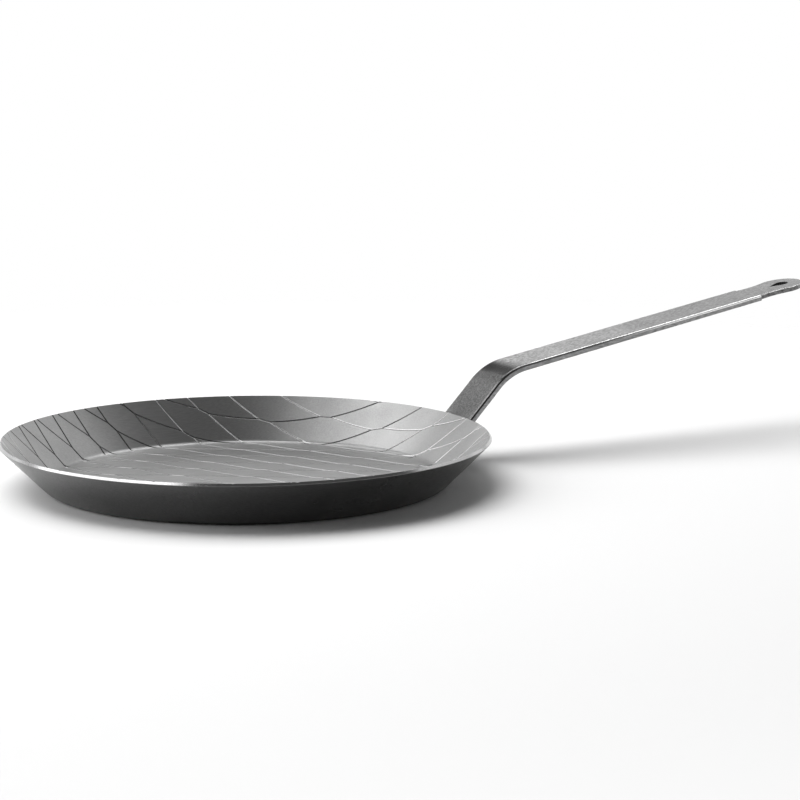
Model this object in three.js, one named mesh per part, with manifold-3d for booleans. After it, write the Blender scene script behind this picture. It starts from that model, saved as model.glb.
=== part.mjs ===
// Frying pan: a pressed carbon-steel body with a spot-welded strip-steel handle.
// Millimetres, +Z up. The origin is the centre of the base's underside, and the handle points along +X.
import * as THREE from 'three';
import { mergeVertices } from 'three/addons/utils/BufferGeometryUtils.js';
import Module from 'manifold-3d';

const { degToRad } = THREE.MathUtils;

// Pan body: a round of sheet, pressed
const RIM_DIAMETER = 280;
const RIM_HEIGHT = 25.9;
const WALL_ANGLE = degToRad(45.2);
const SHEET = 2;
const BASE_RADIUS_OUTSIDE = 8;
const RIM_BREAK = 0.25;

// Handle: flat strip, bent once
const STRIP_THICKNESS = 3.8;
const WIDTH_AT_PAN = 30.2;
const WIDTH_AT_EYE = 28.5;
const TOP_EDGE_BREAK = 0.95;
const UNDER_EDGE_BREAK = 0.4;
const HOB_CLEARANCE = 3;
const LAP_CORNER_RADIUS = 5;
const RISE_LENGTH = 38.9;
const RISE_ANGLE = degToRad(47.6);
const BEND_RADIUS = 38.5;
const GRIP_SLOPE = degToRad(10.1);

// Punched hanging eye, measured along the grip from the point where its line meets the rise
const NECK_START = 194;
const NECK_SHOULDER = 1.2;
const NECK_DIP = 1.3;
const NECK_REACH = 9.5;
const EYE_CENTRE = 220.5;
const EYE_RADIUS = 14.5;
const EYE_JOIN_ANGLE = degToRad(105);
const EYE_COINED = 0.4;
const HOLE_CENTRE = 222;
const HOLE_RADIUS = 4;
const HOLE_POINT = 9.7;

// Spot welds, in two columns and two rows on the lap
const WELD_RADIUS = 3;
const WELD_PENETRATION = 0.45;
const WELD_PITCH_ACROSS = 14;
const WELD_PITCH_ALONG = 12;
const DIMPLE_RADIUS = 4;
const DIMPLE_DEPTH = 0.4;

// Air left between pieces that touch
const SEAT_GAP = 0.3;

// Fineness of the round surfaces
const PAN_FACETS = 120;
const ARC_STEPS = 6;
const BEND_STEPS = 12;
const BLEND_STEPS = 8;
const ACROSS_STEPS = 8;
const WELD_FACETS = 16;
const DOME_STEPS = 3;

const CARBON_STEEL = new THREE.MeshStandardMaterial({ color: 0x7d7d7d, roughness: 0.38, metalness: 1 });
const STRIP_STEEL = new THREE.MeshStandardMaterial({ color: 0xa6a6a6, roughness: 0.45, metalness: 1 });
const WELD_METAL = new THREE.MeshStandardMaterial({ color: 0x5c5a58, roughness: 0.6, metalness: 1 });

const RIM_RADIUS = RIM_DIAMETER / 2;
const ALONG_WALL = new THREE.Vector2(Math.cos(WALL_ANGLE), Math.sin(WALL_ANGLE));
const INTO_PAN = new THREE.Vector2(-Math.sin(WALL_ANGLE), Math.cos(WALL_ANGLE));
const LAP_LENGTH =
  (RIM_HEIGHT - HOB_CLEARANCE - (STRIP_THICKNESS + SEAT_GAP) * ALONG_WALL.x) / ALONG_WALL.y;
const BEND_ANGLE = RISE_ANGLE - GRIP_SLOPE;
const LAP_SLOPE = WALL_ANGLE - GRIP_SLOPE;
const BEND_TANGENT = BEND_RADIUS * Math.tan(BEND_ANGLE / 2);
const DOWN = -Math.PI / 2;
const UP = Math.PI / 2;

const wasm = await Module();
wasm.setup();

// Join shared vertices and drop the triangles that collapse on an axis.
function closed(geometry) {
  geometry.deleteAttribute('normal');
  geometry.deleteAttribute('uv');
  const merged = mergeVertices(geometry, 1e-4);
  const index = merged.index.array;
  const kept = [];
  for (let i = 0; i < index.length; i += 3) {
    const [a, b, c] = index.subarray(i, i + 3);
    if (a !== b && b !== c && c !== a) kept.push(a, b, c);
  }
  merged.setIndex(kept);
  return merged;
}

function toSolid(geometry) {
  const merged = closed(geometry);
  const vertProperties = new Float32Array(merged.attributes.position.array);
  const triVerts = new Uint32Array(merged.index.array);
  return new wasm.Manifold(new wasm.Mesh({ numProp: 3, vertProperties, triVerts }));
}

function toGeometry(solid) {
  const mesh = solid.getMesh();
  const geometry = new THREE.BufferGeometry();
  geometry.setAttribute('position', new THREE.BufferAttribute(mesh.vertProperties, 3));
  geometry.setIndex(new THREE.BufferAttribute(mesh.triVerts, 1));
  geometry.computeVertexNormals();
  return geometry;
}

function named(name, geometry, material) {
  const mesh = new THREE.Mesh(geometry, material);
  mesh.name = name;
  return mesh;
}

// Points on an elliptical arc round (x, y), from one angle to another.
function arcPoints(x, y, radiusX, radiusY, from, to, steps) {
  return new THREE.EllipseCurve(x, y, radiusX, radiusY, from, to).getPoints(steps);
}

// A point on the wall's outer line: along is measured up the wall from the rim's edge, in from its face.
function wallPoint(along, inward = 0) {
  return new THREE.Vector2(RIM_RADIUS, RIM_HEIGHT)
    .addScaledVector(ALONG_WALL, along)
    .addScaledVector(INTO_PAN, inward);
}

// The bend between base and wall, as points from the base to the wall. Both faces turn about one centre.
function baseBend(radius) {
  const flatRadius = wallPoint(-RIM_HEIGHT / ALONG_WALL.y).x - BASE_RADIUS_OUTSIDE * Math.tan(WALL_ANGLE / 2);
  return arcPoints(flatRadius, BASE_RADIUS_OUTSIDE, radius, radius, DOWN, DOWN + WALL_ANGLE, ARC_STEPS);
}

function panGeometry() {
  const profile = [
    new THREE.Vector2(0, 0),
    ...baseBend(BASE_RADIUS_OUTSIDE),
    wallPoint(-RIM_BREAK),
    wallPoint(0, RIM_BREAK),
    wallPoint(0, SHEET - RIM_BREAK),
    wallPoint(-RIM_BREAK, SHEET),
    ...baseBend(BASE_RADIUS_OUTSIDE - SHEET).reverse(),
    new THREE.Vector2(0, SHEET),
  ];
  return new THREE.LatheGeometry(profile, PAN_FACETS).rotateX(UP);
}

// Top face of the strip in the grip's own axes: x along the grip from the bend's corner, z from its
// underside. along is measured up the strip from the rim, where the lap leaves the wall for the steeper rise.
function stripLine(along) {
  const toCorner = RISE_LENGTH - Math.max(along, 0);
  if (toCorner >= BEND_TANGENT) {
    const slope = along > 0 ? BEND_ANGLE : LAP_SLOPE;
    const below = Math.min(along, 0);
    const x = below * Math.cos(LAP_SLOPE) - toCorner * Math.cos(BEND_ANGLE);
    const z = STRIP_THICKNESS + below * Math.sin(LAP_SLOPE) - toCorner * Math.sin(BEND_ANGLE);
    return { x, z, slope };
  }
  const turned = Math.min((along - RISE_LENGTH + BEND_TANGENT) / BEND_RADIUS, BEND_ANGLE);
  const slope = BEND_ANGLE - turned;
  const past = along - RISE_LENGTH + BEND_TANGENT - BEND_RADIUS * turned;
  const x = BEND_TANGENT - BEND_RADIUS * Math.sin(slope) + past;
  const z = STRIP_THICKNESS - BEND_RADIUS + BEND_RADIUS * Math.cos(slope);
  return { x, z, slope };
}

// One closed section across the strip: broken edges, and the curve that seats the lap on the round wall.
function stripSection({ along, halfWidth, curve }) {
  const { x, z, slope } = stripLine(along);
  const rise = (y) => (curve * y * y * ALONG_WALL.y) / (2 * (RIM_RADIUS + along * ALONG_WALL.x));
  const point = (y, depth) => {
    const offset = rise(y) - depth;
    return new THREE.Vector3(x - offset * Math.sin(slope), y, z + offset * Math.cos(slope));
  };
  const section = [];
  for (let i = 0; i <= ACROSS_STEPS; i++) {
    section.push(point((halfWidth - TOP_EDGE_BREAK) * (1 - (2 * i) / ACROSS_STEPS), 0));
  }
  section.push(point(-halfWidth, TOP_EDGE_BREAK));
  section.push(point(-halfWidth, STRIP_THICKNESS - UNDER_EDGE_BREAK));
  for (let i = 0; i <= ACROSS_STEPS; i++) {
    section.push(point((halfWidth - UNDER_EDGE_BREAK) * ((2 * i) / ACROSS_STEPS - 1), STRIP_THICKNESS));
  }
  section.push(point(halfWidth, STRIP_THICKNESS - UNDER_EDGE_BREAK));
  section.push(point(halfWidth, TOP_EDGE_BREAK));
  return section;
}

// Skin a row of sections that share a point count, and close both ends.
function loft(sections) {
  const size = sections[0].length;
  const index = [];
  for (let s = 0; s + 1 < sections.length; s++) {
    for (let i = 0; i < size; i++) {
      const a = s * size + i;
      const b = s * size + ((i + 1) % size);
      index.push(a, b, a + size, b, b + size, a + size);
    }
  }
  const last = (sections.length - 1) * size;
  for (let i = 1; i + 1 < size; i++) {
    index.push(0, i + 1, i);
    index.push(last, last + i, last + i + 1);
  }
  const geometry = new THREE.BufferGeometry().setFromPoints(sections.flat());
  geometry.setIndex(index);
  return geometry;
}

// The bar: lap with rounded corners, rise that flattens out from the wall's curve, bend, and grip.
function barGeometry() {
  const bendStart = RISE_LENGTH - BEND_TANGENT;
  const bendEnd = bendStart + BEND_RADIUS * BEND_ANGLE;
  const end = bendEnd + NECK_START - BEND_TANGENT;
  const taper = (along) => THREE.MathUtils.mapLinear(along, 0, end, WIDTH_AT_PAN, WIDTH_AT_EYE) / 2;
  const stations = [];
  for (let i = 0; i <= ARC_STEPS; i++) {
    const turn = (UP * i) / ARC_STEPS;
    const along = -LAP_LENGTH + LAP_CORNER_RADIUS * (1 - Math.cos(turn));
    const halfWidth = taper(along) - LAP_CORNER_RADIUS * (1 - Math.sin(turn));
    stations.push({ along, halfWidth, curve: 1 });
  }
  for (let i = 0; i <= BLEND_STEPS; i++) {
    const along = (bendStart * i) / BLEND_STEPS;
    const curve = 1 - THREE.MathUtils.smoothstep(along, 0, bendStart);
    stations.push({ along, halfWidth: taper(along), curve });
  }
  for (let i = 1; i <= BEND_STEPS; i++) {
    const along = THREE.MathUtils.lerp(bendStart, bendEnd, i / BEND_STEPS);
    stations.push({ along, halfWidth: taper(along), curve: 0 });
  }
  stations.push({ along: end, halfWidth: taper(end), curve: 0 });
  return loft(stations.map(stripSection));
}

// The punched end: coined a little thinner than the strip, with square edges, a drawn-in neck, a round eye
// and a teardrop hole that points at the pan.
function eyeGeometry() {
  const shoulder = WIDTH_AT_EYE / 2 - NECK_SHOULDER;
  const joinX = EYE_CENTRE + EYE_RADIUS * Math.cos(EYE_JOIN_ANGLE);
  const joinY = EYE_RADIUS * Math.sin(EYE_JOIN_ANGLE);
  const pullX = joinX - NECK_REACH * Math.sin(EYE_JOIN_ANGLE);
  const pullY = joinY + NECK_REACH * Math.cos(EYE_JOIN_ANGLE);
  const leaveX = NECK_START + NECK_REACH;
  const leaveY = shoulder - NECK_DIP;
  const start = NECK_START - NECK_SHOULDER;
  const outline = new THREE.Shape();
  outline.moveTo(start, -shoulder);
  outline.lineTo(NECK_START, -shoulder);
  outline.bezierCurveTo(leaveX, -leaveY, pullX, -pullY, joinX, -joinY);
  outline.absarc(EYE_CENTRE, 0, EYE_RADIUS, -EYE_JOIN_ANGLE, EYE_JOIN_ANGLE);
  outline.bezierCurveTo(pullX, pullY, leaveX, leaveY, NECK_START, shoulder);
  outline.lineTo(start, shoulder);
  outline.closePath();
  const touch = Math.PI - Math.acos(HOLE_RADIUS / HOLE_POINT);
  const hole = new THREE.Path();
  hole.moveTo(HOLE_CENTRE - HOLE_POINT, 0);
  hole.lineTo(HOLE_CENTRE + HOLE_RADIUS * Math.cos(touch), HOLE_RADIUS * Math.sin(touch));
  hole.absarc(HOLE_CENTRE, 0, HOLE_RADIUS, touch, -touch, true);
  hole.closePath();
  outline.holes.push(hole);
  const depth = STRIP_THICKNESS - 2 * EYE_COINED;
  const curveSegments = 2 * BEND_STEPS;
  const eye = new THREE.ExtrudeGeometry(outline, { depth, bevelEnabled: false, curveSegments });
  return eye.translate(0, 0, EYE_COINED);
}

// A weld nugget, domed into both metals; z runs outward from the wall's outer face.
// grown widens it to the pocket that it lies in.
function weldGeometry(grown = 0) {
  const radius = WELD_RADIUS + grown;
  const intoWall = WELD_PENETRATION * SHEET + grown;
  const intoStrip = WELD_PENETRATION * STRIP_THICKNESS + grown;
  const inner = arcPoints(0, 0, radius, intoWall, DOWN, 0, DOME_STEPS);
  const outer = arcPoints(0, SEAT_GAP, radius, intoStrip, 0, UP, DOME_STEPS);
  return new THREE.LatheGeometry([...inner, ...outer], WELD_FACETS).rotateX(UP);
}

// The shallow mark that the welding electrode leaves on the strip's outer face.
function dimpleGeometry() {
  const face = SEAT_GAP + STRIP_THICKNESS;
  const bowl = arcPoints(0, face, DIMPLE_RADIUS, DIMPLE_DEPTH, DOWN, 0, DOME_STEPS);
  const clear = face + DIMPLE_RADIUS;
  const profile = [...bowl, new THREE.Vector2(DIMPLE_RADIUS, clear), new THREE.Vector2(0, clear)];
  return new THREE.LatheGeometry(profile, WELD_FACETS).rotateX(UP);
}

// A turned seat on the wall for each weld, in a pattern centred on the lap.
function weldSeats() {
  const seats = [];
  for (const row of [-0.5, 0.5]) {
    for (const column of [-0.5, 0.5]) {
      const point = wallPoint(-LAP_LENGTH / 2 + row * WELD_PITCH_ALONG);
      const across = column * WELD_PITCH_ACROSS;
      const seat = new THREE.Group();
      seat.position.set(Math.sqrt(point.x ** 2 - across ** 2), across, point.y);
      seat.rotation.set(0, Math.PI - WALL_ANGLE, Math.asin(across / point.x), 'ZYX');
      seat.updateMatrixWorld();
      seats.push(seat);
    }
  }
  return seats;
}

const pan = new THREE.Group();
const seats = weldSeats();
const pockets = seats.map((seat) => weldGeometry(SEAT_GAP).applyMatrix4(seat.matrixWorld));

let body = toSolid(panGeometry());
for (const pocket of pockets) {
  body = body.subtract(toSolid(pocket));
}
pan.add(named('pan_body', toGeometry(body), CARBON_STEEL));

// The handle stands in the grip's own axes, turned up by the grip's slope.
const grip = new THREE.Group();
const leave = wallPoint(0, -SEAT_GAP);
grip.position.set(
  leave.x + RISE_LENGTH * Math.cos(RISE_ANGLE) + STRIP_THICKNESS * Math.sin(GRIP_SLOPE),
  0,
  leave.y + RISE_LENGTH * Math.sin(RISE_ANGLE) - STRIP_THICKNESS * Math.cos(GRIP_SLOPE),
);
grip.rotation.y = -GRIP_SLOPE;
grip.updateMatrixWorld();
const toGrip = grip.matrixWorld.clone().invert();
let strip = toSolid(barGeometry()).add(toSolid(eyeGeometry()));
for (const pocket of pockets) {
  strip = strip.subtract(toSolid(pocket.clone().applyMatrix4(toGrip)));
}
for (const seat of seats) {
  strip = strip.subtract(toSolid(dimpleGeometry().applyMatrix4(seat.matrixWorld).applyMatrix4(toGrip)));
}
grip.add(named('handle', toGeometry(strip), STRIP_STEEL));
pan.add(grip);

seats.forEach((seat, i) => {
  seat.add(named(`spot_weld_${i + 1}`, closed(weldGeometry()), WELD_METAL));
  pan.add(seat);
});

export default pan;
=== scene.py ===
"""A pressed carbon-steel frying pan with a spot-welded strip handle, dressed over its CAD solids."""

import math

import bmesh
import bpy
import numpy as np
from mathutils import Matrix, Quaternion, Vector


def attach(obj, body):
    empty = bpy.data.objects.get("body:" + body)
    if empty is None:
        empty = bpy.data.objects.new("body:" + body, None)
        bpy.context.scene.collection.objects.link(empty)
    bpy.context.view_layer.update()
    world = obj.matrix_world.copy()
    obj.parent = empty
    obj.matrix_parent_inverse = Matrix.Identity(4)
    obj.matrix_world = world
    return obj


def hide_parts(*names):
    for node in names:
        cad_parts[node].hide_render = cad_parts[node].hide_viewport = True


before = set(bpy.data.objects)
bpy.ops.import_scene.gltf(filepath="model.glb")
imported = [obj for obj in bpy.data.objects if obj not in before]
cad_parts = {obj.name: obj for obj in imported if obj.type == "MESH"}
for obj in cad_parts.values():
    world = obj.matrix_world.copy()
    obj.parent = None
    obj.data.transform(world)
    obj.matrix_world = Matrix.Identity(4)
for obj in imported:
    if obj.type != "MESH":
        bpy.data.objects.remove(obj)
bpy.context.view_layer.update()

# Pan body: one round of 2 mm carbon steel. Its upper face is scored with a honeycomb of fine lines while it
# is flat, and then it is pressed to a flat base, a small bend and a straight flared wall. The rim is the
# bare sheared edge of the sheet, with its burr broken.
MM = 0.001
RIM_RADIUS = 140.0
RIM_HEIGHT = 25.9
WALL_ANGLE = math.radians(45.2)
SHEET = 2.0
OUTER_BEND = 8.0
RIM_BREAK = 0.15
INNER_BEND = OUTER_BEND - SHEET
BASE_FLAT = RIM_RADIUS - RIM_HEIGHT / math.tan(WALL_ANGLE) - OUTER_BEND * math.tan(WALL_ANGLE / 2)

# The scored lines are a honeycomb drawn out lengthwise: two sets of stepped lines, which run together along
# a short link wherever they meet. The links' turn on the sheet, a cell's length and width, a link's length,
# and the middle of one link.
CELL_TURN = math.radians(-49.0)
CELL_LENGTH = 38.9
CELL_WIDTH = 21.5
CELL_LINK = 7.4
CELL_START = (-2.2, 4.6)

# A groove's section, from its foot to its lip: the way off the line, and the depth. It is a little wider
# than the real one, so that it shows.
SCORE_OFF = (0.0, 0.3, 0.58)
SCORE_DEPTH = (0.39, 0.13, 0.0)

# A point nearer than this to a cut lies on it.
SNAP = 0.02


def wall_point(along, inward):
    """Radius and height on the wall: along runs up from the rim's edge, inward from the outer face."""
    radius = RIM_RADIUS + along * math.cos(WALL_ANGLE) - inward * math.sin(WALL_ANGLE)
    height = RIM_HEIGHT + along * math.sin(WALL_ANGLE) + inward * math.cos(WALL_ANGLE)
    return radius, height


def cell_axes(flat):
    """Points of the flat sheet along and across the honeycomb's links, from the middle of one link."""
    along = flat[:, 0] * math.cos(CELL_TURN) + flat[:, 1] * math.sin(CELL_TURN) - CELL_START[0]
    across = flat[:, 1] * math.cos(CELL_TURN) - flat[:, 0] * math.sin(CELL_TURN) - CELL_START[1]
    return along, across


def wrapped(value, period):
    """A value brought within half a period of 0."""
    return (value + period / 2) % period - period / 2


def off_score(flat, climb, aside=0.0):
    """Signed distance to the nearest stepped line of a set, shifted aside; climb is 1 or -1, for its set.

    Along a link the line runs level, and from one link to the next it climbs by half a cell's width.
    """
    along, across = cell_axes(flat)
    column = np.floor(along / CELL_LENGTH + 0.5)
    past = along / CELL_LENGTH - column
    link = CELL_LINK / CELL_LENGTH
    stair = column + np.sign(past) * np.maximum(np.abs(past) - link / 2, 0.0) / (1 - link)
    return wrapped(across - climb * stair * CELL_WIDTH / 2 - aside, CELL_WIDTH)


def score_depth(flat):
    """Depth of the scored lines: V grooves with eased lips, straight between their named offsets and depths.

    Where the two sets meet, the deeper one holds.
    """
    offsets = np.array([off_score(flat, climb) for climb in (1, -1)])
    return np.interp(np.abs(offsets), SCORE_OFF, SCORE_DEPTH).max(axis=0)


def press(flat, scored=1.0):
    """Carry points of the flat sheet's upper face onto the pressed pan.

    The angle about the centre stays, and the distance from it becomes length along the section: over the
    base, round the bend and up the wall. The groove's depth, times scored, sinks a point square to that
    section.
    """
    run = np.hypot(flat[:, 0], flat[:, 1])
    angle = np.arctan2(flat[:, 1], flat[:, 0])
    tilt = np.clip((run - BASE_FLAT) / INNER_BEND, 0.0, WALL_ANGLE)
    up_wall = np.maximum(run - BASE_FLAT - INNER_BEND * WALL_ANGLE, 0.0)
    depth = scored * score_depth(flat)
    radius = np.minimum(run, BASE_FLAT) + (INNER_BEND + depth) * np.sin(tilt)
    radius += up_wall * math.cos(WALL_ANGLE)
    height = OUTER_BEND - (INNER_BEND + depth) * np.cos(tilt) + up_wall * math.sin(WALL_ANGLE)
    return np.column_stack((radius * np.cos(angle), radius * np.sin(angle), height))


def split(flat, faces, distance, reach):
    """Cut triangles along the line where distance is 0, so that edges lie on it.

    An edge whose ends have distances of opposite sign gets a point where the distance comes to 0 by
    proportion. A triangle with two such edges becomes three, and one with a single such edge becomes two.
    Distances that differ by more than reach belong to neighbouring lines and aren't crossed.
    """
    side = np.where(np.abs(distance) < SNAP, 0.0, np.sign(distance))
    ahead = np.roll(faces, -1, axis=1)
    crossed = (side[faces] * side[ahead] < 0) & (np.abs(distance[faces] - distance[ahead]) < reach)
    edges = np.sort(np.stack((faces[crossed], ahead[crossed]), axis=1), axis=1)
    edges, which = np.unique(edges, axis=0, return_inverse=True)
    near, far = distance[edges[:, 0]], distance[edges[:, 1]]
    share = (near / (near - far))[:, None]
    made = flat[edges[:, 0]] * (1 - share) + flat[edges[:, 1]] * share
    fresh = np.full(faces.shape, -1)
    fresh[crossed] = len(flat) + which.ravel()
    count = crossed.sum(axis=1)

    one = np.flatnonzero(count == 1)
    edge = crossed[one].argmax(axis=1)
    a, b, c = faces[one, (edge + 2) % 3], faces[one, edge], faces[one, (edge + 1) % 3]
    p = fresh[one, edge]
    halves = np.concatenate((np.stack((a, b, p), axis=1), np.stack((a, p, c), axis=1)))

    two = np.flatnonzero(count == 2)
    edge = crossed[two].argmin(axis=1)
    a, b, c = faces[two, (edge + 2) % 3], faces[two, edge], faces[two, (edge + 1) % 3]
    p, q = fresh[two, (edge + 2) % 3], fresh[two, (edge + 1) % 3]
    thirds = np.concatenate(
        (np.stack((a, p, q), axis=1), np.stack((p, b, c), axis=1), np.stack((p, c, q), axis=1))
    )
    return np.concatenate((flat, made)), np.concatenate((faces[count == 0], halves, thirds))


def disc_grid(radii):
    """A disc of points and triangles: nested squares of a square grid laid out as circles of these radii.

    Ring k of the grid has 8k points at even angles, so the triangles stay alike from centre to rim.
    """
    rings = len(radii) - 1
    i, j = np.meshgrid(np.arange(-rings, rings + 1), np.arange(-rings, rings + 1), indexing="ij")
    across = np.abs(i) >= np.abs(j)
    i_safe, j_safe = np.where(i == 0, 1, i), np.where(j == 0, 1, j)
    angle = np.where(across, j / i_safe * np.pi / 4, np.pi / 2 - i / j_safe * np.pi / 4)
    angle = angle + np.where(np.where(across, i, j) < 0, np.pi, 0.0)
    radius = np.asarray(radii)[np.maximum(np.abs(i), np.abs(j))]
    flat = np.column_stack(((radius * np.cos(angle)).ravel(), (radius * np.sin(angle)).ravel()))
    index = np.arange(flat.shape[0]).reshape(i.shape)
    a, b, c, d = (s.ravel() for s in (index[:-1, :-1], index[1:, :-1], index[1:, 1:], index[:-1, 1:]))
    outward = ((i[:-1, :-1] >= 0) == (j[:-1, :-1] >= 0)).ravel()[:, None]
    first = np.where(outward, np.column_stack((a, b, c)), np.column_stack((a, b, d)))
    second = np.where(outward, np.column_stack((a, c, d)), np.column_stack((b, c, d)))
    return flat, np.concatenate((first, second))


def band(first, second):
    """Four-sided faces between two closed loops of point numbers."""
    return np.stack((first, np.roll(first, -1), np.roll(second, -1), second), axis=1)


def new_piece(name, points, faces):
    """A mesh object at the origin, from points in millimetres."""
    mesh = bpy.data.meshes.new(name)
    mesh.from_pydata((points * MM).tolist(), [], faces)
    made = bpy.data.objects.new(name, mesh)
    bpy.context.scene.collection.objects.link(made)
    return made


# Rings of points over the base, round the bend and up the wall.
BASE_RINGS = 24
BEND_RINGS = 8
WALL_RINGS = 12
rim_inner_height = wall_point(-RIM_BREAK, SHEET)[1]
wall_foot_height = OUTER_BEND - INNER_BEND * math.cos(WALL_ANGLE)
wall_foot = BASE_FLAT + INNER_BEND * WALL_ANGLE
sheet_edge = wall_foot + (rim_inner_height - wall_foot_height) / math.sin(WALL_ANGLE)
rings = np.concatenate(
    (
        np.linspace(0.0, BASE_FLAT, BASE_RINGS + 1),
        np.linspace(BASE_FLAT, wall_foot, BEND_RINGS + 1)[1:],
        np.linspace(wall_foot, sheet_edge, WALL_RINGS + 1)[1:],
    )
)

# The grid is cut at the links' ends and along each line of a groove's section, so that its edges lie there.
flat, inside = disc_grid(rings)
for end in (-0.5, 0.5):
    link_end = wrapped(cell_axes(flat)[0] - end * CELL_LINK, CELL_LENGTH)
    flat, inside = split(flat, inside, link_end, CELL_LENGTH / 2)
for climb in (1, -1):
    for cut in (*SCORE_OFF, *(-off for off in SCORE_OFF[1:])):
        flat, inside = split(flat, inside, off_score(flat, climb, cut), CELL_WIDTH / 2)
edge_loop = np.flatnonzero(np.hypot(flat[:, 0], flat[:, 1]) > sheet_edge - SNAP)
around = np.arctan2(flat[edge_loop, 1], flat[edge_loop, 0])
edge_loop, around = edge_loop[np.argsort(around)], np.sort(around)
flat[edge_loop] = sheet_edge * np.column_stack((np.cos(around), np.sin(around)))
face_points = press(flat)

# The rim and the outside, carried round from the scored face's edge so that the lines notch the rim. The
# first two bands are the rim.
RIM_BANDS = 2
OUTER_WALL_LOOPS = 9
OUTER_BEND_LOOPS = 10
notch = score_depth(flat[edge_loop])
outer_rise = RIM_HEIGHT - OUTER_BEND * (1 - math.cos(WALL_ANGLE))
outer_wall = np.linspace(-RIM_BREAK, -outer_rise / math.sin(WALL_ANGLE), OUTER_WALL_LOOPS)
outer_turn = np.linspace(WALL_ANGLE, 0.0, OUTER_BEND_LOOPS + 1)[1:]
section = [wall_point(0.0, SHEET - RIM_BREAK - notch), wall_point(0.0, RIM_BREAK)]
section += [wall_point(along, 0.0) for along in outer_wall]
section += [
    (BASE_FLAT + OUTER_BEND * math.sin(turn), OUTER_BEND * (1 - math.cos(turn))) for turn in outer_turn
]
loops = [edge_loop]
points = [face_points]
for radius, height in section:
    loops.append(np.arange(len(around)) + sum(len(part) for part in points))
    height = np.broadcast_to(height, around.shape)
    points.append(np.column_stack((radius * np.cos(around), radius * np.sin(around), height)))
bands = [band(above, below) for above, below in zip(loops[1:], loops[:-1])]
pan = new_piece(
    "pan_body_pressed",
    np.concatenate(points),
    inside.tolist() + np.concatenate(bands).tolist() + [loops[-1][::-1].tolist()],
)

# The scored face's own normals, from its rise over a hair's step. A groove's are taken a little inside each
# of its faces, drawn in by a share of the way to the middle, so that its lips and its foot stay sharp. The
# sheet's between the grooves are taken as if it had none.
HAIR = 0.01
DRAWN_IN = 0.2
PAN_SHARP = math.radians(25)


def press_normals(flat, scored):
    """Unit normals of the pressed face, from its rise over a hair's step each way along X and along Y."""
    along = press(flat + (HAIR, 0.0), scored) - press(flat - (HAIR, 0.0), scored)
    across = press(flat + (0.0, HAIR), scored) - press(flat - (0.0, HAIR), scored)
    normal = np.cross(along, across)
    return normal / np.linalg.norm(normal, axis=1)[:, None]


corners = flat[inside]
middles = corners.mean(axis=1, keepdims=True)
grooved = score_depth(middles[:, 0]) > 0
drawn_in = corners + DRAWN_IN * (middles - corners)
normals = np.zeros((len(pan.data.loops), 3))
normals[: inside.size] = np.where(
    np.repeat(grooved, 3)[:, None],
    press_normals(drawn_in.reshape(-1, 2), 1.0),
    press_normals(corners.reshape(-1, 2), 0.0),
)
pan.data.shade_smooth()
pan.data.set_sharp_from_angle(angle=PAN_SHARP)
pan.data.normals_split_custom_set(normals.tolist())


def linear(colour):
    """A hex sRGB colour as linear red, green, blue and alpha."""
    shares = [int(colour[i : i + 2], 16) / 255 for i in (1, 3, 5)]
    return (*(s / 12.92 if s <= 0.04045 else ((s + 0.055) / 1.055) ** 2.4 for s in shares), 1.0)


def node(tree, kind, sockets, **settings):
    """Add a shader node: settings are its own properties, sockets its inputs, each a value or a link."""
    made = tree.nodes.new("ShaderNode" + kind)
    for name, value in settings.items():
        setattr(made, name, value)
    for name, value in sockets.items():
        if isinstance(value, bpy.types.NodeSocket):
            tree.links.new(value, made.inputs[name])
        else:
            made.inputs[name].default_value = value
    return made


# Clouding of bare steel: its size in mm, and how far it takes the tone. A noise keeps to the middle of its
# range, and so does the sum of two, and these middles are spread over the whole of a swing.
CLOUD = 35.0
CLOUD_SWING = 0.08
CLOUD_DETAIL = 4.0
MARK_DETAIL = 3.0
ROUGH_SWING = 0.05
NOISE_RANGE = (0.3, 0.7)
SUM_RANGE = (0.7, 1.3)


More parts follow.
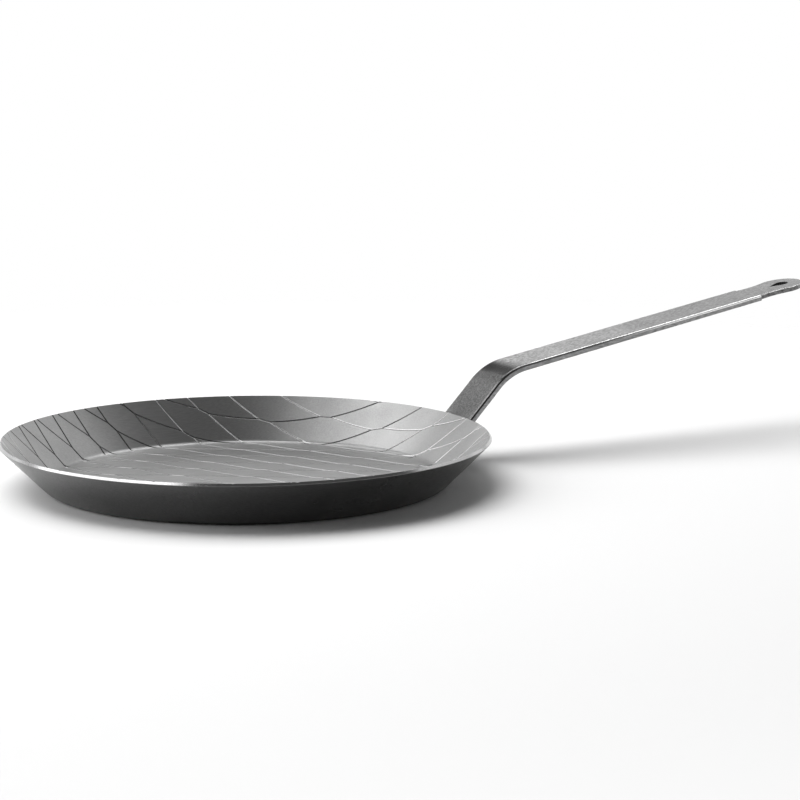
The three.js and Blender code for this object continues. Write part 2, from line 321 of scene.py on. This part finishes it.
def steel(name, colour, roughness, mark, relief, swing=0.12, shades=()):
    """Bare steel with marks along X, mark = (length, width) and relief deep in mm, and faint clouding.

    The marks are drawn coarser than real grain, so that they show. The tone strays from the colour by up to
    swing. Shades, where given, paint shade along X: (place, share) pairs, the share of the colour that is
    left at places along X, in mm, eased from one to the next.
    """
    material = bpy.data.materials.new(name)
    material.use_nodes = True
    tree = material.node_tree
    tree.nodes.clear()
    place = node(tree, "TexCoord", {}).outputs["Object"]
    scale = (1 / (mark[0] * MM), 1 / (mark[1] * MM), 1 / (mark[1] * MM))
    drawn = node(tree, "Mapping", {"Vector": place, "Scale": scale}).outputs["Vector"]
    marks = {"Vector": drawn, "Scale": 1.0, "Detail": MARK_DETAIL}
    marks = node(tree, "TexNoise", marks).outputs["Fac"]
    cloud = {"Vector": place, "Scale": 1 / (CLOUD * MM), "Detail": CLOUD_DETAIL}
    cloud = node(tree, "TexNoise", cloud).outputs["Fac"]
    both = node(tree, "Math", {0: marks, 1: cloud}, operation="ADD").outputs["Value"]
    spread = {"From Min": NOISE_RANGE[0], "From Max": NOISE_RANGE[1]}
    tone = {"Value": marks, **spread, "To Min": 1 - swing, "To Max": 1 + swing}
    tone = node(tree, "MapRange", tone).outputs["Result"]
    haze = {"Value": cloud, **spread, "To Min": 1 - CLOUD_SWING, "To Max": 1 + CLOUD_SWING}
    haze = node(tree, "MapRange", haze).outputs["Result"]
    tone = node(tree, "Math", {0: tone, 1: haze}, operation="MULTIPLY").outputs["Value"]
    if shades:
        start, end = shades[0][0], shades[-1][0]
        along = node(tree, "SeparateXYZ", {"Vector": place}).outputs["X"]
        along = {"Value": along, "From Min": start * MM, "From Max": end * MM}
        along = node(tree, "MapRange", along).outputs["Result"]
        ramp = node(tree, "ValToRGB", {"Fac": along})
        ramp.color_ramp.interpolation = "EASE"
        stops = ramp.color_ramp.elements
        between = [stops.new((at - start) / (end - start)) for at, _ in shades[1:-1]]
        for stop, (_, share) in zip((stops[0], *between, stops[-1]), shades):
            stop.color = (share, share, share, 1.0)
        shaded = {0: tone, 1: ramp.outputs["Color"]}
        tone = node(tree, "Math", shaded, operation="MULTIPLY").outputs["Value"]
    tint = {0: linear(colour)[:3], "Scale": tone}
    tint = node(tree, "VectorMath", tint, operation="SCALE").outputs["Vector"]
    dull = {"Value": both, "From Min": SUM_RANGE[0], "From Max": SUM_RANGE[1]}
    dull.update({"To Min": roughness + ROUGH_SWING, "To Max": roughness - ROUGH_SWING})
    dull = node(tree, "MapRange", dull).outputs["Result"]
    bump = {"Height": marks, "Distance": relief * MM, "Strength": 1.0}
    bump = node(tree, "Bump", bump).outputs["Normal"]
    look = {"Base Color": tint, "Metallic": 1.0, "Roughness": dull, "Normal": bump}
    look = node(tree, "BsdfPrincipled", look).outputs["BSDF"]
    node(tree, "OutputMaterial", {"Surface": look})
    return material


# Cold-rolled carbon steel with a satin skin: soft reflections, a faint grain along the rolling direction.
pan.data.materials.append(steel("cold_rolled_carbon_steel_satin", "#a6a6a6", 0.4, (14.0, 0.5), 0.004))
# The sheared edge is brighter and closer-grained than the sheet's skin.
pan.data.materials.append(steel("carbon_steel_sheared_edge", "#bcbcbc", 0.18, (2.0, 0.4), 0.002))
# The outside is painted darker than the inside steel, as shade.
pan.data.materials.append(steel("carbon_steel_outside_painted_shade", "#6a6a6a", 0.32, (6.0, 0.7), 0.004))
# The scored lines are cut through the skin, and their smooth flanks mirror the light more sharply.
pan.data.materials.append(steel("carbon_steel_fresh_cut", "#989898", 0.22, (3.0, 0.4), 0.002))
SKIN, SHEARED, OUTSIDE, CUT = range(len(pan.data.materials))
pan_finish = np.full(len(pan.data.polygons), OUTSIDE, dtype=np.int32)
pan_finish[: len(inside)] = np.where(grooved, CUT, SKIN)
pan_finish[len(inside) : len(inside) + RIM_BANDS * len(around)] = SHEARED
pan.data.polygons.foreach_set("material_index", pan_finish)
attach(pan, "root")
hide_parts("pan_body")

# Handle: a bar of flat strip steel with bevelled upper edges, bent once and coined at its end to a necked
# hanging eye with a punched teardrop hole. Its lap has rounded corners, is curved to the wall and is
# spot-welded under the rim.
STRIP = 3.8
WIDTH_AT_PAN = 30.2
WIDTH_AT_EYE = 28.5
TOP_EDGE = 1.0
UNDER_EDGE = 0.5
SEAT_GAP = 0.3
HOB_CLEARANCE = 3.0
LAP_CORNER = 5.0
RISE_LENGTH = 38.9
RISE_ANGLE = math.radians(47.6)
BEND_RADIUS = 38.5
GRIP_SLOPE = math.radians(10.1)
lap_foot = HOB_CLEARANCE + (STRIP + SEAT_GAP) * math.cos(WALL_ANGLE)
lap = (RIM_HEIGHT - lap_foot) / math.sin(WALL_ANGLE)
bend_tangent = BEND_RADIUS * math.tan((RISE_ANGLE - GRIP_SLOPE) / 2)
bend_start = RISE_LENGTH - bend_tangent
bend_end = bend_start + BEND_RADIUS * (RISE_ANGLE - GRIP_SLOPE)

# The hanging eye, measured along the strip from the rim.
corner = bend_end - bend_tangent
NECK_START = corner + 194.0
NECK_SHOULDER = 1.2
NECK_DIP = 1.3
NECK_REACH = 9.5
EYE_CENTRE = corner + 220.5
EYE_RADIUS = 14.5
EYE_JOIN = math.radians(105)
EYE_COINED = 0.4
EYE_EDGE = 0.3
HOLE_CENTRE = corner + 222.0
HOLE_RADIUS = 4.0
HOLE_POINT = 9.7

# Marks of the welding electrode on the lap's outer face.
WELD_ACROSS = 14.0
WELD_ALONG = 12.0
DIMPLE_RADIUS = 4.0
DIMPLE_FLOOR = 3.2
DIMPLE_DEPTH = 0.4

# Points across the strip.
COLUMNS = 49


def strip_point(along, across, depth):
    """Place points of the flat strip: along from the rim, across from its middle, depth from its top face.

    The top face's line follows the wall below the rim, climbs at the rise angle, turns on the bend's radius
    and runs on at the grip's slope. Below the bend the strip is dished to the wall by across^2 / twice the
    cone's radius there, which fades out up the rise.
    """
    turned = np.clip((along - bend_start) / BEND_RADIUS, 0.0, RISE_ANGLE - GRIP_SLOPE)
    slope = np.where(along < 0, WALL_ANGLE, RISE_ANGLE - turned)
    on_lap = np.minimum(along, 0.0)
    on_rise = np.clip(along, 0.0, bend_start)
    on_grip = np.maximum(along - bend_end, 0.0)
    x, z = wall_point(0.0, -SEAT_GAP)
    x = x + on_lap * math.cos(WALL_ANGLE) + on_rise * math.cos(RISE_ANGLE) + on_grip * math.cos(GRIP_SLOPE)
    z = z + on_lap * math.sin(WALL_ANGLE) + on_rise * math.sin(RISE_ANGLE) + on_grip * math.sin(GRIP_SLOPE)
    x = x + BEND_RADIUS * (math.sin(RISE_ANGLE) - np.sin(RISE_ANGLE - turned))
    z = z + BEND_RADIUS * (np.cos(RISE_ANGLE - turned) - math.cos(RISE_ANGLE))
    fade = on_rise / bend_start
    dish = across**2 * math.sin(WALL_ANGLE) / 2 / (RIM_RADIUS + along * math.cos(WALL_ANGLE))
    lift = dish * (1 - fade * fade * (3 - 2 * fade)) - depth
    return np.column_stack((x - lift * np.sin(slope), across, z + lift * np.cos(slope)))


def off_hole(flat):
    """Signed distance to the teardrop hole: to its circle, or to the tangents that run to its point."""
    x, y = flat[:, 0] - HOLE_CENTRE, np.abs(flat[:, 1])
    touch = math.pi - math.acos(HOLE_RADIUS / HOLE_POINT)
    past = y * math.cos(touch) - x * math.sin(touch) > 0
    return np.where(past, x * math.cos(touch) + y * math.sin(touch), np.hypot(x, y)) - HOLE_RADIUS


def off_weld(flat):
    """Distance from the centre of the nearest of the four welds."""
    row = np.abs(flat[:, 0] + lap / 2) - WELD_ALONG / 2
    column = np.abs(flat[:, 1]) - WELD_ACROSS / 2
    return np.hypot(row, column)


def half_width(along):
    """Half the bar's width, which tapers evenly from the rim to the neck."""
    return (WIDTH_AT_PAN + (WIDTH_AT_EYE - WIDTH_AT_PAN) * along / NECK_START) / 2


# The strip's outline, row by row from the lap's end to the tip: along, half width, and the way in from the
# edge. The rows run round the lap's corners, up the lap and the rise, round the bend, and along the grip,
# the neck and the eye.
CORNER_ROWS = 10
LAP_ROWS = 35
RISE_ROWS = 14
BEND_ROWS = 24
GRIP_ROWS = 40
NECK_ROWS = 24
EYE_ROWS = 52
turn = np.linspace(0.0, math.pi / 2, CORNER_ROWS + 1)
corner_along = -lap + LAP_CORNER * (1 - np.cos(turn))
straight = np.concatenate(
    (
        np.linspace(-lap + LAP_CORNER, 0.0, LAP_ROWS + 1)[1:],
        np.linspace(0.0, bend_start, RISE_ROWS + 1)[1:],
        np.linspace(bend_start, bend_end, BEND_ROWS + 1)[1:],
        np.linspace(bend_end, NECK_START, GRIP_ROWS + 1)[1:],
    )
)
t = np.linspace(0.0, 1.0, NECK_ROWS + 1)[:-1]
join = np.array((EYE_CENTRE + EYE_RADIUS * math.cos(EYE_JOIN), EYE_RADIUS * math.sin(EYE_JOIN)))
pull = join - NECK_REACH * np.array((math.sin(EYE_JOIN), -math.cos(EYE_JOIN)))
shoulder = WIDTH_AT_EYE / 2 - NECK_SHOULDER
leave = np.array((NECK_START + NECK_REACH, shoulder - NECK_DIP))
neck = np.outer((1 - t) ** 3, (NECK_START, shoulder)) + np.outer(3 * t * (1 - t) ** 2, leave)
neck += np.outer(3 * t**2 * (1 - t), pull) + np.outer(t**3, join)
sweep = np.linspace(EYE_JOIN, 0.0, EYE_ROWS + 1)
eye = np.column_stack((EYE_CENTRE + EYE_RADIUS * np.cos(sweep), EYE_RADIUS * np.sin(sweep)))
row_along = np.concatenate((corner_along, straight, neck[:, 0], eye[:, 0]))
row_half = np.concatenate(
    (half_width(corner_along) - LAP_CORNER * (1 - np.sin(turn)), half_width(straight), neck[:, 1], eye[:, 1])
)
middle_rows = len(straight) + len(neck)
in_along = np.concatenate((np.cos(turn), np.zeros(middle_rows), -np.cos(sweep)))
in_half = np.concatenate((-np.sin(turn), -np.ones(middle_rows), -np.sin(sweep)))
coined = np.arange(len(row_along)) >= len(turn) + len(straight)
top_edge = np.where(coined, EYE_EDGE, TOP_EDGE)
under_edge = np.where(coined, EYE_EDGE, UNDER_EDGE)
top_depth = np.where(coined, EYE_COINED, 0.0)
under_depth = np.where(coined, STRIP - EYE_COINED, STRIP)

# Top and underside: rows of points inside the strip's edges, with the hole cut out. The cut's reach is
# longer than any edge of the grid.
CUT_REACH = 2 * STRIP
column_share = np.linspace(-1.0, 1.0, COLUMNS)
number = np.arange(len(row_along) * COLUMNS).reshape(-1, COLUMNS)
a, b, c, d = (s.ravel() for s in (number[:-1, :-1], number[1:, :-1], number[1:, 1:], number[:-1, 1:]))
grid_faces = np.concatenate((np.column_stack((a, b, c)), np.column_stack((a, c, d))))


def strip_face(edge, depth):
    """One broad face of the strip in the flat, cut to the hole: its points, their depth and its triangles."""
    along = np.repeat(row_along + edge * in_along, COLUMNS)
    across = np.outer(row_half + edge * in_half, column_share).ravel()
    flat = np.column_stack((along, across))
    flat, faces = split(flat, grid_faces, off_hole(flat) - EYE_EDGE, CUT_REACH)
    faces = faces[off_hole(flat[faces].mean(axis=1)) > EYE_EDGE]
    depths = np.concatenate((np.repeat(depth, COLUMNS), np.full(len(flat) - len(along), depth[-1])))
    return flat, depths, faces


top_flat, top_depths, top_faces = strip_face(top_edge, top_depth)
under_flat, under_depths, under_faces = strip_face(under_edge, under_depth)
for radius in (DIMPLE_RADIUS, DIMPLE_FLOOR):
    rows_on = len(under_flat)
    under_flat, under_faces = split(under_flat, under_faces, off_weld(under_flat) - radius, CUT_REACH)
    under_depths = np.concatenate((under_depths, np.full(len(under_flat) - rows_on, STRIP)))
sunk = (DIMPLE_RADIUS - off_weld(under_flat)) / (DIMPLE_RADIUS - DIMPLE_FLOOR)
under_depths = under_depths - DIMPLE_DEPTH * np.clip(sunk, 0.0, 1.0)

# The strip's edge, carried round the outline: the top's bevel, the side, and the underside's rounding. The
# bevel is a worn arris, a steep slope and an eased foot: the way in and the drop, in shares of the edge.
BEVEL = ((1.0, 0.0), (0.4, 0.23), (0.126, 0.89), (0.03, 1.1), (0.0, 1.365))
ROUND_STEPS = 5
round_turn = np.linspace(0.0, math.pi / 2, ROUND_STEPS + 1)
rows = len(row_along)
loop_row = np.concatenate((np.zeros(COLUMNS, int), np.arange(1, rows), np.arange(rows - 2, 0, -1)))
loop_share = np.concatenate((column_share, np.ones(rows - 1), -np.ones(rows - 2)))
loop_column = np.concatenate((np.arange(COLUMNS), np.full(rows - 1, COLUMNS - 1), np.zeros(rows - 2, int)))


def edge_ring(inset, depth):
    """The outline drawn in by inset at a depth, as placed points."""
    along = row_along[loop_row] + (inset * in_along)[loop_row]
    across = loop_share * (row_half + inset * in_half)[loop_row]
    return strip_point(along, across, depth[loop_row])


parts = [strip_point(*top_flat.T, top_depths), strip_point(*under_flat.T, under_depths)]
total = len(top_flat) + len(under_flat)
loop_top = loop_row * COLUMNS + loop_column
chain = [loop_top]
for inset, drop in BEVEL[1:]:
    parts.append(edge_ring(top_edge * inset, top_depth + top_edge * drop))
    chain.append(np.arange(len(loop_row)) + total)
    total += len(loop_row)
for angle in round_turn[:-1]:
    parts.append(edge_ring(under_edge * (1 - np.cos(angle)), under_depth - under_edge * (1 - np.sin(angle))))
    chain.append(np.arange(len(loop_row)) + total)
    total += len(loop_row)
chain.append(loop_top + len(top_flat))

# The hole's wall, carried round from its rounded top edge to its rounded lower edge.
on_lip = np.abs(off_hole(top_flat) - EYE_EDGE) < SNAP
on_lip[len(row_along) * COLUMNS :] = True
lip = np.flatnonzero(on_lip)
lip = lip[np.argsort(np.arctan2(top_flat[lip, 1], top_flat[lip, 0] - HOLE_CENTRE + HOLE_RADIUS / 2))]
grow_along = off_hole(top_flat[lip] + (HAIR, 0.0)) - off_hole(top_flat[lip] - (HAIR, 0.0))
grow_across = off_hole(top_flat[lip] + (0.0, HAIR)) - off_hole(top_flat[lip] - (0.0, HAIR))
inward = -np.column_stack((grow_along, grow_across)) / (2 * HAIR)
bore = [lip]
for angle in round_turn[1:]:
    drawn = top_flat[lip] + inward * EYE_EDGE * math.sin(angle)
    parts.append(strip_point(*drawn.T, EYE_COINED + EYE_EDGE * (1 - math.cos(angle))))
    bore.append(np.arange(len(lip)) + total)
    total += len(lip)
for angle in round_turn[:-1]:
    drawn = top_flat[lip] + inward * EYE_EDGE * math.cos(angle)
    parts.append(strip_point(*drawn.T, STRIP - EYE_COINED - EYE_EDGE * (1 - math.sin(angle))))
    bore.append(np.arange(len(lip)) + total)
    total += len(lip)
bore.append(lip + len(top_flat))
walls = [band(above, below) for above, below in zip(chain[:-1], chain[1:])]
walls += [band(above, below) for above, below in zip(bore[:-1], bore[1:])]
faces = top_faces.tolist() + (under_faces + len(top_flat)).tolist() + np.concatenate(walls).tolist()
handle = new_piece("handle_bent_strip", np.concatenate(parts), faces)

# The finish of each face, by the order of the materials below. The points that fall together at the tip are
# then joined, within a distance in metres.
TOP, ARRIS, SLOPE, SIDE, EYE_SIDE, BORE, SPOT, RING = range(8)
SAME_PLACE = 1e-7
STRIP_SHARP = math.radians(32)
mark_off = off_weld(under_flat[under_faces].mean(axis=1))
strip_finish = [np.full(len(top_faces), TOP)]
strip_finish += [np.select((mark_off < DIMPLE_FLOOR, mark_off < DIMPLE_RADIUS), (SPOT, RING), TOP)]
strip_finish += [np.full(len(loop_row), ARRIS)]
strip_finish += [np.where(coined[loop_row], ARRIS, SLOPE)] * (len(BEVEL) - 2)
strip_finish += [np.where(coined[loop_row], EYE_SIDE, SIDE)] * (len(chain) - len(BEVEL))
strip_finish += [np.full((len(bore) - 1) * len(lip), BORE)]
handle.data.polygons.foreach_set("material_index", np.concatenate(strip_finish).astype(np.int32))
bm = bmesh.new()
bm.from_mesh(handle.data)
bmesh.ops.remove_doubles(bm, verts=bm.verts, dist=SAME_PLACE)
bmesh.ops.delete(bm, geom=[v for v in bm.verts if not v.link_faces], context="VERTS")
bmesh.ops.recalc_face_normals(bm, faces=bm.faces)
bm.to_mesh(handle.data)
bm.free()
handle.data.shade_smooth()
handle.data.set_sharp_from_angle(angle=STRIP_SHARP)

# Strip steel, ground along its length: a fine grain and a satin shine. Its colour is painted with shade
# along X: dark on the rise and lightening up it, a dark band of painted shade across the bend, and darker
# again towards the eye.
top_painted_shades = ((140.0, 0.54), (162.5, 0.75), (166.0, 0.3), (170.0, 0.3))
top_painted_shades += ((174.5, 1.0), (215.0, 1.0), (310.0, 0.6))
top_steel = steel("strip_steel_ground_lengthwise", "#a4a4a4", 0.22, (2.6, 0.9), 0.008, 0.5, top_painted_shades)
# The arris is worn bright, and its bright colour also paints the highlight along the grip. Below the bend it
# is painted dark, as shade.
arris_painted_shades = ((170.0, 0.22), (192.0, 1.0))
arris_steel = steel("strip_steel_worn_arris_painted_highlight", "#dcdcdc", 0.2, (1.2, 0.8), 0.004, 0.5, arris_painted_shades)
# The slope under the arris is painted dark near the pan, as shade, and its bright colour paints a highlight
# towards the eye.
slope_painted_light = ((170.0, 0.09), (185.0, 0.15), (225.0, 0.15), (310.0, 1.0))
slope_steel = steel("strip_steel_edge_painted_light", "#d4d4d4", 0.22, (9.0, 0.8), 0.004, 0.15, slope_painted_light)
# Sheared sides: duller than the ground faces, and painted darker, as shade.
side_steel = steel("strip_steel_sheared_side_painted_shade", "#848484", 0.3, (3.0, 0.8), 0.008, 0.4)
# Coined sides of the eye: squeezed rough and blotched.
eye_steel = steel("strip_steel_coined_side", "#6a6a6a", 0.34, (2.2, 1.6), 0.08, 0.6)
# The punched hole's wall is torn, and painted dark as the shade inside the hole.
bore_steel = steel("strip_steel_punched_wall_painted_shade", "#303030", 0.5, (0.8, 0.8), 0.02, 0.3)
# The electrode leaves a burnished spot with a burnt ring round it.
spot_steel = steel("strip_steel_burnished_spot", "#8e8c88", 0.3, (0.8, 0.8), 0.01)
ring_steel = steel("strip_steel_heat_tint", "#3c3834", 0.4, (0.8, 0.8), 0.01)
face_steels = (top_steel, arris_steel, slope_steel, side_steel)
mark_steels = (eye_steel, bore_steel, spot_steel, ring_steel)
for made in face_steels + mark_steels:
    handle.data.materials.append(made)
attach(handle, "root")
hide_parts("handle")

# Spot welds: four nuggets of fused steel between the wall and the lap, out of sight inside the metal.
# Weld metal is coarse and dull.
weld_metal = steel("resistance_weld_metal", "#5f5d5b", 0.55, (1.0, 1.0), 0.02)
for name in ("spot_weld_1", "spot_weld_2", "spot_weld_3", "spot_weld_4"):
    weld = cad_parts[name]
    weld.data.materials.clear()
    weld.data.materials.append(weld_metal)

# Studio: a pale paper sweep that fades into a white surround, which is dim above the horizon and behind the
# camera. Softboxes stand round the pan for the steel to mirror, and a soft top light is for the floor.
VIEW_TURN = math.radians(-29.4)
FLOOR_CENTRE = (120.0, 0.0)
FLOOR_RADIUS = 900.0
FLOOR_FADE = (380.0, 850.0)
FLOOR_RINGS = 8
FLOOR_DROP = 0.2

# How much of the white is left above the horizon and behind the camera. The first sets in between two
# rises, and the second between two shares of the way that point towards the back.
DIM = 0.09
FRONT_DIM = 0.06
HORIZON_TOP = math.sin(math.radians(22))
HORIZON_GONE = math.sin(math.radians(26))
FRONT_DARK = -0.95
FRONT_CLEAR = -0.65


def softbox(name, azimuth, elevation, width, height, radiance, roll=0.0, shiny=True, matt=True, away=2.6):
    """An area lamp that faces the pan, leaning left by roll. Angles are in degrees, lengths in metres.

    azimuth runs right from straight behind the pan as the camera sees it. A lamp that isn't shiny isn't
    mirrored, and one that isn't matt is only mirrored.
    """
    turn, rise = math.radians(azimuth) - VIEW_TURN, math.radians(elevation)
    way = Vector((math.sin(turn) * math.cos(rise), math.cos(turn) * math.cos(rise), math.sin(rise)))
    data = bpy.data.lights.new(name, "AREA")
    data.shape = "RECTANGLE"
    data.size, data.size_y = width, height
    data.energy = radiance * math.pi * width * height
    lamp = bpy.data.objects.new(name, data)
    lamp.location = way * away
    lean = Quaternion((0.0, 0.0, 1.0), -math.radians(roll))
    lamp.rotation_euler = (way.to_track_quat("Z", "Y") @ lean).to_euler()
    lamp.visible_glossy = shiny
    lamp.visible_diffuse = matt
    bpy.context.scene.collection.objects.link(lamp)


# Each lamp's azimuth, elevation, width, height and radiance. Two are only for a glint on the scored lines.
softbox("softbox_left", -75, 54, 0.9, 2.5, 2.4, roll=45)
softbox("softbox_left_side", -99, 26, 1.9, 1.4, 3.4)
softbox("softbox_low_left", -39, 28, 1.6, 0.7, 0.45)
softbox("softbox_low_right", 46, 36, 1.9, 1.0, 0.78)
softbox("softbox_back", 1, 50, 2.0, 1.0, 2.5)
softbox("softbox_right", 117, 23, 1.2, 0.8, 0.8)
softbox("softbox_front_left", -137, 25, 1.3, 0.4, 1.4, matt=False)
softbox("softbox_far_left", -68, 13, 1.2, 0.6, 2.6, matt=False)
softbox("top_light", -70, 68, 2.8, 2.8, 3.2, shiny=False, away=3.2)

floor_flat, floor_faces = disc_grid(np.linspace(0.0, FLOOR_RADIUS, FLOOR_RINGS + 1))
floor_level = np.full(len(floor_flat), -FLOOR_DROP)
floor_points = np.column_stack((floor_flat + FLOOR_CENTRE, floor_level))
floor = new_piece("floor", floor_points, floor_faces.tolist())
paper = bpy.data.materials.new("white_paper_sweep")
paper.use_nodes = True
tree = paper.node_tree
tree.nodes.clear()
place = node(tree, "TexCoord", {}).outputs["Object"]
centre = (FLOOR_CENTRE[0] * MM, FLOOR_CENTRE[1] * MM, 0.0)
away = node(tree, "VectorMath", {0: place, 1: centre}, operation="DISTANCE").outputs["Value"]
fade = {"Value": away, "From Min": FLOOR_FADE[0] * MM, "From Max": FLOOR_FADE[1] * MM}
fade = node(tree, "MapRange", fade, interpolation_type="SMOOTHSTEP").outputs["Result"]
sheet = node(tree, "BsdfDiffuse", {"Color": linear("#f4f4f4")}).outputs["BSDF"]
clear = node(tree, "BsdfTransparent", {}).outputs["BSDF"]
mixed = node(tree, "MixShader", {"Fac": fade, 1: sheet, 2: clear}).outputs["Shader"]
node(tree, "OutputMaterial", {"Surface": mixed})
floor.data.materials.append(paper)

world = bpy.data.worlds.new("white_studio")
world.use_nodes = True
tree = world.node_tree
tree.nodes.clear()
way = node(tree, "TexCoord", {}).outputs["Generated"]
height = node(tree, "SeparateXYZ", {"Vector": way}).outputs["Z"]
backdrop = {"Value": height, "From Min": HORIZON_TOP, "From Max": HORIZON_GONE}
backdrop.update({"To Min": 1.0, "To Max": DIM})
backdrop = node(tree, "MapRange", backdrop, interpolation_type="SMOOTHSTEP").outputs["Result"]
behind = {0: way, 1: (-math.sin(VIEW_TURN), math.cos(VIEW_TURN), 0.0)}
behind = node(tree, "VectorMath", behind, operation="DOT_PRODUCT").outputs["Value"]
front = {"Value": behind, "From Min": FRONT_DARK, "From Max": FRONT_CLEAR}
front.update({"To Min": FRONT_DIM, "To Max": 1.0})
front = node(tree, "MapRange", front, interpolation_type="SMOOTHSTEP").outputs["Result"]
backdrop = node(tree, "Math", {0: backdrop, 1: front}, operation="MULTIPLY").outputs["Value"]
rays = node(tree, "LightPath", {}).outputs
shown = node(tree, "Math", {0: rays["Is Glossy Ray"], 1: rays["Is Transmission Ray"]}, operation="MAXIMUM")
level = node(tree, "Math", {0: shown.outputs["Value"], 1: backdrop}, operation="MULTIPLY").outputs["Value"]
level = node(tree, "Math", {0: level, 1: FRONT_DIM}, operation="MAXIMUM").outputs["Value"]
level = node(tree, "Math", {0: level, 1: rays["Is Camera Ray"]}, operation="MAXIMUM").outputs["Value"]
sky = node(tree, "Background", {"Color": linear("#ffffff"), "Strength": level}).outputs["Background"]
node(tree, "OutputWorld", {"Surface": sky})
scene = bpy.context.scene
scene.world = world
scene.view_settings.view_transform = "Standard"

# Camera: a long lens that looks at the pan from a little above its rim.
VIEW_ELEVATION = math.radians(9.43)
VIEW_DISTANCE = 1267.5
VIEW_TARGET = Vector((76.25, -42.97, 47.43))
LENS = 100.09
SENSOR = 36.0
back = Vector((math.sin(VIEW_TURN), -math.cos(VIEW_TURN), math.tan(VIEW_ELEVATION))).normalized()
camera = bpy.data.objects.new("camera", bpy.data.cameras.new("camera"))
camera.data.lens = LENS
camera.data.sensor_width = SENSOR
camera.location = (VIEW_TARGET + back * VIEW_DISTANCE) * MM
camera.rotation_euler = back.to_track_quat("Z", "Y").to_euler()
scene.collection.objects.link(camera)
scene.camera = camera
